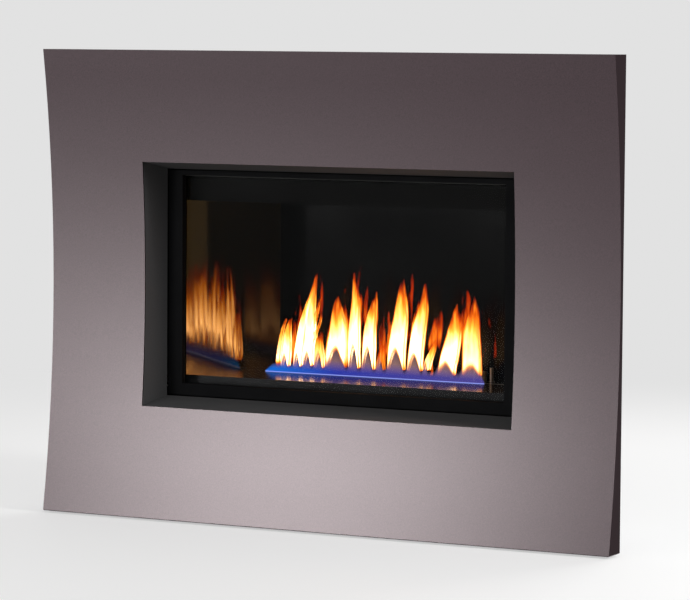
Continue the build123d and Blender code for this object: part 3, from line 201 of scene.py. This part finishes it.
def studio_world():
    """A white surround that lights the object evenly, and is paler where it is seen directly."""
    world = bpy.data.worlds.new("studio")
    bpy.context.scene.world = world
    world.use_nodes = True
    tree = world.node_tree
    levels = {"Value": seen_directly(tree), "To Min": AMBIENT, "To Max": BACKDROP}
    strength = add_node(tree, "ShaderNodeMapRange", levels).outputs[0]
    background = tree.nodes["Background"]
    background.inputs["Color"].default_value = WHITE
    tree.links.new(strength, background.inputs["Strength"])


def studio_floor(colour, glimmer):
    """A pale floor that takes the object's shadow, and further out looks as the backdrop does.

    Seen directly, it is paler by the glimmer, and its light on the object stays as it was.
    """
    bpy.ops.mesh.primitive_plane_add(size=FLOOR_SIZE)
    floor = bpy.context.object
    floor.name = "studio_floor"
    near = Finish("studio_floor", colour, 0.7, Specular_IOR_Level=0.2, Emission_Color=WHITE)
    direct = seen_directly(near.tree)
    near.vary("Emission Strength", near.maths("MULTIPLY", direct, glimmer))
    far = near.add("ShaderNodeEmission", {"Strength": BACKDROP}).outputs[0]
    reach = near.add("ShaderNodeVectorMath", {0: near.place}, operation="LENGTH").outputs["Value"]
    span = {"Value": reach, "From Min": FLOOR_FADE[0], "From Max": FLOOR_FADE[1]}
    fade = near.add("ShaderNodeMapRange", span, interpolation_type="SMOOTHSTEP").outputs[0]
    near.surface(near.maths("MULTIPLY", fade, direct), near.shader.outputs[0], far)
    floor.data.materials.append(near.material)


photo_camera()
studio_world()
studio_floor((0.45, 0.447, 0.444), glimmer=0.5)
softbox("key_softbox", (-2.2, -4.2, 0.52), (0, -0.15, 0.27), (0.9, 0.25), 70)
softbox("low_softbox", (-3.05, -3.8, 0.16), (-0.3, -0.15, 0.3), (0.6, 0.22), 11)
softbox("high_softbox", (0.5, -1.5, 2.6), (0, -0.1, 0.3), (1.6, 1.2), 9)
softbox("right_softbox", (2.6, -0.31, 1.5), (-0.3, -0.15, 0.33), (0.3, 1.2), 44)
softbox("back_softbox", (0.6, 2.6, 2.2), (0, 0.1, 0.3), (1.8, 1.2), 40)
bpy.context.scene.view_settings.view_transform = "Standard"


# ---------------------------------------------------------------- finishes
def scaled(colour, factor):
    return tuple(channel * factor for channel in colour)


def bronze_face():
    """A satin bronze paint with a warm gloss and a fine sparkle, duller on the side edges, where a much
    darker paint is painted shade.
    """
    bronze = (0.041, 0.023, 0.029)
    gloss, edge_gloss = 0.27, 0.6
    warm_gloss = (1.0, 0.88, 0.9, 1.0)
    finish = Finish("bronze_face", bronze, gloss, Specular_IOR_Level=0.4, Specular_Tint=warm_gloss)
    sparkle = finish.noise(1.6 * MM, detail=4)
    paint = finish.ramp(sparkle, (0.3, scaled(bronze, 0.7)), (0.7, scaled(bronze, 1.35)))
    sideways = finish.add("ShaderNodeSeparateXYZ", {0: finish.facing}).outputs[0]
    # Painted shade: the side faces get a much darker paint and a dark metallic gloss, standing in for the
    # shadow they lie in; they are also rougher.
    shaded_sides = finish.spread(finish.maths("ABSOLUTE", sideways), 0.0, 1.0, 0.8, 0.95)
    finish.vary("Base Color", finish.mix(shaded_sides, paint, (*scaled(bronze, 0.3), 1)))
    finish.vary("Metallic", shaded_sides)
    finish.vary("Roughness", finish.spread(shaded_sides, gloss, edge_gloss, 0.0, 1.0))
    return finish.relief(sparkle, 0.06 * MM, 0.7)


def trim_black():
    finish = Finish("trim_black", (0.06, 0.059, 0.06), 0.6, Specular_IOR_Level=0.08)
    grit = finish.noise(0.7 * MM, detail=2)
    finish.shades(grit, (0.05, 0.049, 0.05), (0.07, 0.069, 0.07))
    finish.vary("Roughness", finish.spread(finish.noise(0.05), 0.55, 0.66))
    return finish.relief(grit, 0.04 * MM, 0.4)


def door_black():
    finish = Finish("door_black", (0.005, 0.005, 0.0055), 0.7, Specular_IOR_Level=0.04)
    grit = finish.noise(0.6 * MM, detail=2)
    finish.shades(grit, (0.0035, 0.0035, 0.004), (0.0065, 0.0065, 0.007))
    finish.vary("Roughness", finish.spread(finish.noise(0.04), 0.64, 0.76))
    return finish.relief(grit, 0.04 * MM, 0.4)


def firebox_black():
    finish = Finish("firebox_black", (0.004, 0.004, 0.004), 0.75, Specular_IOR_Level=0.03)
    soot = finish.noise(0.06, detail=4)
    finish.shades(soot, (0.0025, 0.0025, 0.0025), (0.006, 0.0058, 0.0055))
    finish.vary("Roughness", finish.spread(soot, 0.65, 0.85))
    return finish.relief(finish.noise(0.8 * MM), 0.05 * MM, 0.5)


def mirror_black():
    """The side panels' polished enamel, whose gloss is amber."""
    amber = (1.0, 0.76, 0.42, 1.0)
    finish = Finish("mirror_black", (0.002, 0.002, 0.002), 0.05, IOR=2.4, Specular_Tint=amber)
    finish.shades(finish.noise(0.08, detail=3), (0.0015, 0.0015, 0.0015), (0.003, 0.003, 0.003))
    finish.vary("Roughness", finish.spread(finish.noise(0.04), 0.03, 0.07))
    return finish.relief(finish.noise(0.02, detail=1), 0.01 * MM, 0.15)


def back_black():
    """The back panel's duller enamel."""
    finish = Finish("back_black", (0.002, 0.002, 0.002), 0.07, Specular_IOR_Level=0.04)
    haze = finish.noise(0.07, detail=3)
    finish.shades(haze, (0.0015, 0.0015, 0.0015), (0.003, 0.003, 0.003))
    finish.vary("Roughness", finish.spread(haze, 0.05, 0.09))
    return finish.relief(finish.noise(0.02, detail=1), 0.01 * MM, 0.2)


def tray_black():
    finish = Finish("tray_black", (0.008, 0.008, 0.009), 0.17, IOR=1.2)
    finish.shades(finish.noise(0.05, detail=4), (0.006, 0.006, 0.007), (0.012, 0.012, 0.013))
    finish.vary("Roughness", finish.spread(finish.noise(0.03, detail=3), 0.15, 0.2))
    return finish.relief(finish.noise(0.015, detail=1), 0.01 * MM, 0.2)


def clear_glass():
    finish = Finish("clear_glass", (0.02, 0.022, 0.021), 0.02, Alpha=0.04)
    finish.vary("Roughness", finish.spread(finish.noise(0.12, detail=4), 0.01, 0.05))
    finish.material.surface_render_method = "BLENDED"
    return finish


def rope_seal():
    finish = Finish("rope_seal", (0.035, 0.035, 0.033), 0.9, Specular_IOR_Level=0.2)
    twist = {"Vector": finish.place, "Scale": 160, "Distortion": 1.5}
    strands = finish.add("ShaderNodeTexWave", twist, bands_direction="DIAGONAL").outputs[0]
    finish.shades(strands, (0.015, 0.015, 0.014), (0.055, 0.054, 0.05), 0.2, 0.8)
    return finish.relief(strands, 0.5 * MM, 0.8)


def galvanised():
    finish = Finish("galvanised", (0.5, 0.52, 0.53), 0.38, metallic=0.85)
    crystals = finish.cells(0.011)
    finish.shades(crystals, (0.4, 0.42, 0.435), (0.58, 0.6, 0.61), 0.1, 0.9)
    finish.vary("Roughness", finish.spread(crystals, 0.3, 0.48, 0.1, 0.9))
    return finish.relief(finish.noise(0.004, detail=3), 0.03 * MM, 0.4)


def zinc_steel():
    finish = Finish("zinc_steel", (0.6, 0.59, 0.54), 0.3, metallic=1.0)
    tint = finish.noise(0.006, detail=3)
    finish.shades(tint, (0.5, 0.49, 0.43), (0.68, 0.68, 0.65))
    finish.vary("Roughness", finish.spread(tint, 0.24, 0.38))
    return finish.relief(finish.noise(0.8 * MM), 0.02 * MM, 0.5)


def burner_steel():
    """Steel with the tints of heat."""
    finish = Finish("burner_steel", (0.1, 0.088, 0.075), 0.5, metallic=0.9)
    tints = (
        (0.25, (0.04, 0.035, 0.037)),
        (0.45, (0.11, 0.085, 0.055)),
        (0.6, (0.13, 0.115, 0.1)),
        (0.8, (0.06, 0.062, 0.09)),
    )
    finish.vary("Base Color", finish.ramp(finish.noise(0.035, detail=3), *tints))
    finish.vary("Roughness", finish.spread(finish.noise(0.01), 0.35, 0.5))
    return finish.relief(finish.noise(0.5 * MM, stretch=(0.08, 1, 1)), 0.02 * MM, 0.5)


def vent_steel():
    finish = Finish("vent_steel", (0.56, 0.56, 0.56), 0.26, metallic=1.0)
    brushing = finish.noise(0.5 * MM, detail=2, stretch=(0.04, 0.04, 1))
    finish.shades(brushing, (0.5, 0.5, 0.5), (0.62, 0.62, 0.625))
    finish.vary("Roughness", finish.spread(brushing, 0.2, 0.33))
    return finish.relief(brushing, 0.01 * MM, 0.5)


def pipe_steel():
    finish = Finish("pipe_steel", (0.05, 0.048, 0.048), 0.5, metallic=0.6)
    scale = finish.noise(0.012, detail=4)
    finish.shades(scale, (0.035, 0.034, 0.034), (0.085, 0.075, 0.068))
    finish.vary("Roughness", finish.spread(scale, 0.4, 0.62))
    return finish.relief(finish.noise(0.9 * MM), 0.04 * MM, 0.5)


def brass_fitting():
    finish = Finish("brass_fitting", (0.62, 0.44, 0.17), 0.28, metallic=1.0)
    tarnish = finish.noise(0.008, detail=3)
    finish.shades(tarnish, (0.5, 0.34, 0.12), (0.7, 0.51, 0.22))
    finish.vary("Roughness", finish.spread(tarnish, 0.22, 0.36))
    return finish.relief(finish.noise(0.4 * MM, stretch=(1, 1, 0.1)), 0.01 * MM, 0.5)


def pilot_aluminium():
    finish = Finish("pilot_aluminium", (0.62, 0.62, 0.63), 0.3, metallic=1.0)
    dulling = finish.noise(0.006, detail=3)
    finish.shades(dulling, (0.5, 0.5, 0.51), (0.7, 0.7, 0.71))
    finish.vary("Roughness", finish.spread(dulling, 0.25, 0.4))
    return finish.relief(finish.noise(0.6 * MM), 0.01 * MM, 0.4)


def valve_casting():
    finish = Finish("valve_casting", (0.4, 0.4, 0.41), 0.5, metallic=0.8)
    grain = finish.noise(0.9 * MM, detail=3)
    finish.shades(finish.noise(0.02, detail=3), (0.33, 0.33, 0.34), (0.46, 0.46, 0.47))
    finish.vary("Roughness", finish.spread(grain, 0.42, 0.6))
    return finish.relief(grain, 0.08 * MM, 0.6)


def ceramic():
    finish = Finish("ceramic", (0.36, 0.33, 0.28), 0.35)
    finish.shades(finish.noise(0.004, detail=3), (0.3, 0.275, 0.23), (0.4, 0.37, 0.31))
    finish.vary("Roughness", finish.spread(finish.noise(0.003), 0.15, 0.28))
    return finish.relief(finish.noise(0.002), 0.02 * MM, 0.3)


def moulded(name, colour, roughness):
    """A moulded plastic with a spark-eroded grain."""
    finish = Finish(name, colour, roughness)
    grain = finish.noise(0.35 * MM, detail=2)
    finish.shades(finish.noise(0.01), scaled(colour, 0.85), scaled(colour, 1.15))
    finish.vary("Roughness", finish.spread(grain, roughness - 0.05, roughness + 0.07))
    return finish.relief(grain, 0.02 * MM, 0.5)


finishes = {
    finish.name: finish.material
    for finish in (
        bronze_face(),
        trim_black(),
        door_black(),
        firebox_black(),
        mirror_black(),
        back_black(),
        tray_black(),
        clear_glass(),
        rope_seal(),
        galvanised(),
        zinc_steel(),
        burner_steel(),
        vent_steel(),
        pipe_steel(),
        brass_fitting(),
        pilot_aluminium(),
        valve_casting(),
        ceramic(),
        moulded("knob_plastic", (0.03, 0.03, 0.032), 0.45),
        moulded("red_plastic", (0.5, 0.03, 0.02), 0.35),
        moulded("rocker_plastic", (0.045, 0.045, 0.048), 0.3),
    )
}

for part in frame["record"]["subparts"]:
    node = nodes[part["node"]]
    node.data.materials.clear()
    node.data.materials.append(finishes[part["material_slot"]])

# ---------------------------------------------------------------- fire
# A flame stands on two feet with a blue arch between them and leans to one tip. Along the burner and
# over the tray, in mm: its feet's outer sides, its tip, the feet's and arch's heights and the tip's;
# then how hot it is, and how late it leans.
Flame = namedtuple("Flame", "left right tip low arch top heat lean")
BRIGHT_FLAMES = [
    Flame(-180, -172, -149, 6, 0, 102, 0.9, 2.2),
    Flame(-172, -155, -152, 7, 20, 90, 1, 1.6),
    Flame(-158, -151, -152, 9, 0, 64, 0.45, 1.2),
    Flame(-154, -146, -145, 9, 0, 113, 0.5, 1.2),
    Flame(-151, -134, -113, 7, 22, 150, 1, 1.4),
    Flame(-135, -115, -112, 8, 26, 160, 1, 1.2),
    Flame(-122, -115, -91, 52, 0, 140, 0.6, 1.4),
    Flame(-118, -112, -97, 45, 0, 107, 0.7, 1.2),
    Flame(-116, -96, -104, 8, 24, 70, 0.85, 1.2),
    Flame(-96, -84, -88, 11, 0, 110, 0.55, 1.2),
    Flame(-97, -57, -73, 9, 37, 122, 1, 1.2),
    Flame(-72, -56, -61, 10, 0, 136, 0.62, 1.2),
    Flame(-58, -36, -47, 8, 44, 162, 1, 1.2),
    Flame(-48, -36, -37, 30, 0, 136, 0.62, 1.2),
    Flame(-36, -11, -13, 8, 40, 135, 1, 1.5),
    Flame(-22, -11, -9, 30, 0, 120, 0.5, 1.2),
    Flame(-11, 6, 0, 10, 18, 62, 0.6, 1.2),
    Flame(6, 40, 36, 9, 41, 157, 1, 1.5),
    Flame(30, 39, 42, 50, 0, 116, 0.45, 1.2),
    Flame(39, 68, 72, 9, 33, 148, 0.95, 1.3),
    Flame(45, 60, 58, 30, 0, 132, 0.6, 1.2),
    Flame(66, 80, 90, 14, 18, 69, 0.8, 1.2),
    Flame(79, 83, 82, 5, 0, 38, 0.5, 1.2),
    Flame(88, 122, 126, 6, 22, 119, 1, 1.1),
    Flame(116, 124, 132, 20, 0, 92, 0.5, 1.3),
    Flame(128, 165, 148, 7, 18, 136, 0.85, 1.2),
    Flame(134, 146, 135, 50, 0, 118, 0.4, 1.2),
]
DIM_FLAMES_AND_REFLECTION = [
    Flame(-150, -141, -142, 60, 0, 126, 0.3, 1.2),
    Flame(-126, -104, -109, 80, 0, 170, 0.32, 1.2),
    Flame(-92, -80, -86, 50, 0, 124, 0.32, 1.2),
    Flame(-60, -40, -43, 60, 0, 172, 0.34, 1.2),
    Flame(-44, -28, -26, 70, 0, 156, 0.3, 1.2),
    Flame(-12, 2, -3, 26, 0, 114, 0.45, 1.2),
    Flame(0, 10, 8, 26, 0, 110, 0.45, 1.2),
    Flame(20, 46, 42, 50, 0, 160, 0.3, 1.2),
    Flame(68, 92, 92, 40, 0, 128, 0.45, 1.2),
    Flame(112, 146, 131, 50, 0, 146, 0.34, 1.2),
    # Painted reflection: this faint brown flame, reaching past the burner's right end, stands in for a
    # flame's reflection.
    Flame(150, 186, 152, 36, 0, 128, 0.13, 1.2),
]
FOOT_WIDTH = 3.5
FOOT_DIP = 1.5  # into the blue base
FOOT_ROUNDING = 0.04  # the share of a flame's height over which its foot is rounded
FOOT_FADE = 0.2  # the share over which a flame with no arch grows hot
FOOT_START = 0.1  # how far along that fade it starts
SKIRT = 0.98  # a flame's width against its feet's
BELLY = 0.25  # up to this share of its height a flame keeps its width
LEAST_SIZE = 0.1  # in mm, so that nothing is divided by zero
SWAY = 2.6  # to either side of the middle line, in mm
SWAY_TURNS = 7  # radians from the foot to the tip
COOLING = (0.86, 1.8)  # the heat lost at the tip, and how late it goes
EDGE_SHARPNESS = 1.5  # the higher, the nearer to its edge a flame is at its full heat
ARCH_SHARE = 0.85  # of the arch's height, as its blurred crown looks higher than it is drawn
ARCH_ROUNDNESS = 1.6  # 2 is a parabola, and 1 is a triangle
ARCH_FADE = 19  # over this height a flame's foot comes out of its arch
ARCH_START = 0.15  # how far along that fade it starts at the arch's edge
MERGING = 2.5  # the higher, the less two flames that cross add up
COLDEST = 0.01  # less heat than this is no flame
BASE_REACH = (-200, 170)
BASE_HEIGHT = 14
BASE_FADE = (22, 8)  # over these lengths the base rises at its left and right ends
SHEET_STEP = (1.0, 1.5)  # along the burner and upwards, in mm
SHEET_REACH = (-206, 192)
SHEET_TOP = 174
LEAST_SLOPE = 1e-6  # so that nothing is divided by zero


def smooth(value):
    value = np.clip(value, 0, 1)
    return value * value * (3 - 2 * value)


def arch_height(flame, x):
    """The height of the blue arch between a flame's feet, and below zero outside it."""
    middle = (flame.left + flame.right) / 2
    reach = (flame.right - flame.left) / 2 - FOOT_WIDTH
    return ARCH_SHARE * flame.arch * (1 - np.abs((x - middle) / reach) ** ARCH_ROUNDNESS)


def flame_heat(flame, x, z):
    """Above zero inside the flame, and highest low down in its middle."""
    rise = (z - flame.low + FOOT_DIP) / (flame.top - flame.low + FOOT_DIP)
    inside = np.clip(rise, 0, 1)
    foot = (flame.left + flame.right) / 2
    middle = foot + (flame.tip - foot) * inside**flame.lean
    middle = middle + SWAY * inside * np.sin(SWAY_TURNS * inside + foot)
    taper = 1 - np.clip((inside - BELLY) / (1 - BELLY), 0, 1) ** 2
    rounding = np.clip(inside / FOOT_ROUNDING, 0, 1) ** 0.5
    reach = np.maximum((flame.right - flame.left) / 2 * SKIRT * taper * rounding, LEAST_SIZE)
    across = 1 - ((x - middle) / reach) ** 2
    lost, lateness = COOLING
    heat = flame.heat * (1 - lost * inside**lateness) * smooth(EDGE_SHARPNESS * across)
    if flame.arch:
        heat = heat * smooth((z - arch_height(flame, x)) / ARCH_FADE + ARCH_START)
    else:
        heat = heat * smooth(inside / FOOT_FADE + FOOT_START)
    return np.where((rise > 0) & (rise < 1) & (across > 0), heat, np.minimum(across, -COLDEST))


def merged_heat(flames, x, z):
    heats = np.array([flame_heat(flame, x, z) for flame in flames])
    together = (np.clip(heats, 0, None) ** MERGING).sum(axis=0) ** (1 / MERGING)
    return np.where(together > COLDEST, together, heats.max(axis=0) - COLDEST)


def base_height(x):
    """How high the blue base reaches along the burner: a low band, and the arches between the feet."""
    low, high = BASE_REACH
    height = BASE_HEIGHT * smooth((x - low) / BASE_FADE[0]) * smooth((high - x) / BASE_FADE[1])
    for flame in BRIGHT_FLAMES:
        if flame.arch:
            height = np.maximum(height, arch_height(flame, x) + ARCH_FADE)
    return height


def base_heat(x, z):
    return 1 - np.maximum(z, 0) / np.maximum(base_height(x), LEAST_SIZE)


def sheet_places():
    along = np.arange(*SHEET_REACH, SHEET_STEP[0])
    upward = np.arange(-SHEET_STEP[1], SHEET_TOP, SHEET_STEP[1])
    return np.meshgrid(along, upward)


def warm_cells(warm):
    """The grid's cells that are warm at all four corners, and how many of them meet at each point."""
    cells = warm[:-1, :-1] & warm[1:, :-1] & warm[:-1, 1:] & warm[1:, 1:]
    meeting = np.zeros(warm.shape, int)
    for row in (0, 1):
        for column in (0, 1):
            meeting[row : row + cells.shape[0], column : column + cells.shape[1]] += cells
    return cells, meeting


def drawn_to_edge(x, z, heat, rim):
    """The grid's places, with those on the rim moved to where the heat ends."""
    slope_z, slope_x = np.gradient(heat, SHEET_STEP[1], SHEET_STEP[0])
    pace = np.where(rim, heat / (slope_x**2 + slope_z**2 + LEAST_SLOPE), 0)
    x = x - np.clip(pace * slope_x, -SHEET_STEP[0], SHEET_STEP[0])
    z = z - np.clip(pace * slope_z, -SHEET_STEP[1], SHEET_STEP[1])
    return x, z


def fire_sheet(name, x, z, heat, y, thickness):
    """A closed thin form over the sheet's warm part, thickest where it is hottest, that keeps its heat."""
    cells, meeting = warm_cells(heat > 0)
    used, inner = meeting > 0, meeting == 4
    rim = used & ~inner
    x, z = drawn_to_edge(x, z, heat, rim)
    heat = np.where(rim, 0, heat)
    half = thickness / 2 * np.sqrt(np.clip(heat, 0, 1))

    front = np.cumsum(used).reshape(used.shape) - 1
    back = np.where(inner, used.sum() + np.cumsum(inner).reshape(inner.shape) - 1, front)
    near = np.stack([x[used], -half[used], z[used]], axis=1)
    far = np.stack([x[inner], half[inner], z[inner]], axis=1)
    points = np.concatenate([near, far]) * MM + np.array([0, y, tray_level])
    faces = []
    for side, order in ((front, 1), (back, -1)):
        corners = np.stack([side[:-1, :-1], side[:-1, 1:], side[1:, 1:], side[1:, :-1]], axis=-1)
        faces.extend(corners[cells][:, ::order].tolist())
    mesh = bpy.data.meshes.new(name)
    mesh.from_pydata(points.tolist(), [], faces)
    kept = np.concatenate([heat[used], heat[inner]])
    mesh.attributes.new("warmth", "FLOAT", "POINT").data.foreach_set("value", kept)
    mesh.shade_smooth()
    piece = bpy.data.objects.new(name, mesh)
    bpy.context.scene.collection.objects.link(piece)
    piece.visible_diffuse = False
    piece.visible_shadow = False
    return piece


class Glow(Finish):
    """A see-through light, whose colour, strength and opacity may follow the points' warmth."""

    def __init__(self, name):
        super().__init__(name, (0, 0, 0), 1.0)
        self.material.surface_render_method = "BLENDED"
        self.tree.nodes.remove(self.shader)

    def glow(self, colour, strength, opacity):
        light = self.add("ShaderNodeEmission", {"Color": colour, "Strength": strength}).outputs[0]
        clear = self.add("ShaderNodeBsdfTransparent").outputs[0]
        self.surface(opacity, clear, light)
        return self.material


def flame_glow():
    """White-hot low down, orange and then red towards the tips and edges, with upright streaks."""
    finish = Glow("flame")
    heat = finish.attribute("warmth")
    streaks = finish.spread(finish.noise(0.008, detail=2, stretch=(1, 1, 0.16)), 0.0, 0.75, 0.35, 0.65)
    lost = finish.maths("MULTIPLY", finish.maths("SUBTRACT", 1.0, heat), streaks)
    heat = finish.maths("MAXIMUM", finish.maths("MULTIPLY_ADD", lost, -0.75, heat), 0.0)
    colours = (
        (0.0, (1.0, 0.03, 0.0)),
        (0.15, (1.0, 0.06, 0.002)),
        (0.3, (1.0, 0.18, 0.005)),
        (0.48, (1.0, 0.35, 0.03)),
        (0.72, (1.0, 0.5, 0.18)),
        (0.95, (1.0, 0.62, 0.34)),
    )
    strength = finish.maths("MULTIPLY_ADD", finish.maths("POWER", heat, 2.4), 8.0, 0.8)
    opacity = finish.maths("MINIMUM", finish.maths("MULTIPLY", heat, 2.2), 0.85)
    return finish.glow(finish.ramp(heat, *colours), strength, opacity)


def base_glow():
    """A pale line at the ports, blue over it and violet in the arches, less so towards the right end."""
    finish = Glow("flame_base")
    warmth = finish.attribute("warmth")
    along, _, upward = finish.add("ShaderNodeSeparateXYZ", {0: finish.place}).outputs
    end = finish.spread(along, 0.0, 1.0, -0.18, 0.12)
    over = finish.spread(upward, 0.0, 1.0, tray_level + 6 * MM, tray_level + 22 * MM)
    line = finish.spread(upward, 1.0, 0.0, tray_level + 0.6 * MM, tray_level + 1.4 * MM)
    blues = ((0.0, (0.01, 0.2, 0.95)), (0.35, (0.04, 0.06, 0.55)), (1.0, (0.11, 0.085, 0.42)))
    violets = ((0.0, (0.3, 0.16, 0.2)), (1.0, (0.45, 0.25, 0.22)))
    colour = finish.mix(over, finish.ramp(end, *blues), finish.ramp(end, *violets))
    colour = finish.mix(line, colour, (0.26, 0.32, 0.85, 1))
    opacity = finish.spread(warmth, 0.0, 0.7, 0.0, 0.62)
    return finish.glow(colour, finish.maths("MULTIPLY_ADD", line, 0.6, 0.8), opacity)


def add_fire(name, heat, depth, thickness, material):
    """A sheet of fire so far behind the burner's middle line, in mm, that stays with the insert."""
    piece = fire_sheet(name, *places, heat, burner_y + depth * MM, thickness)
    piece.data.materials.append(material)
    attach(piece, "insert_body")


places = sheet_places()
flame_material = flame_glow()
add_fire("bright_flames", merged_heat(BRIGHT_FLAMES, *places), -3, 9, flame_material)
# The dim sheet also glows with a painted reflection of a flame at the burner's right end.
add_fire("dim_flames_and_reflection", merged_heat(DIM_FLAMES_AND_REFLECTION, *places), 6, 5, flame_material)
add_fire("flame_base", base_heat(*places), -9, 2, base_glow())
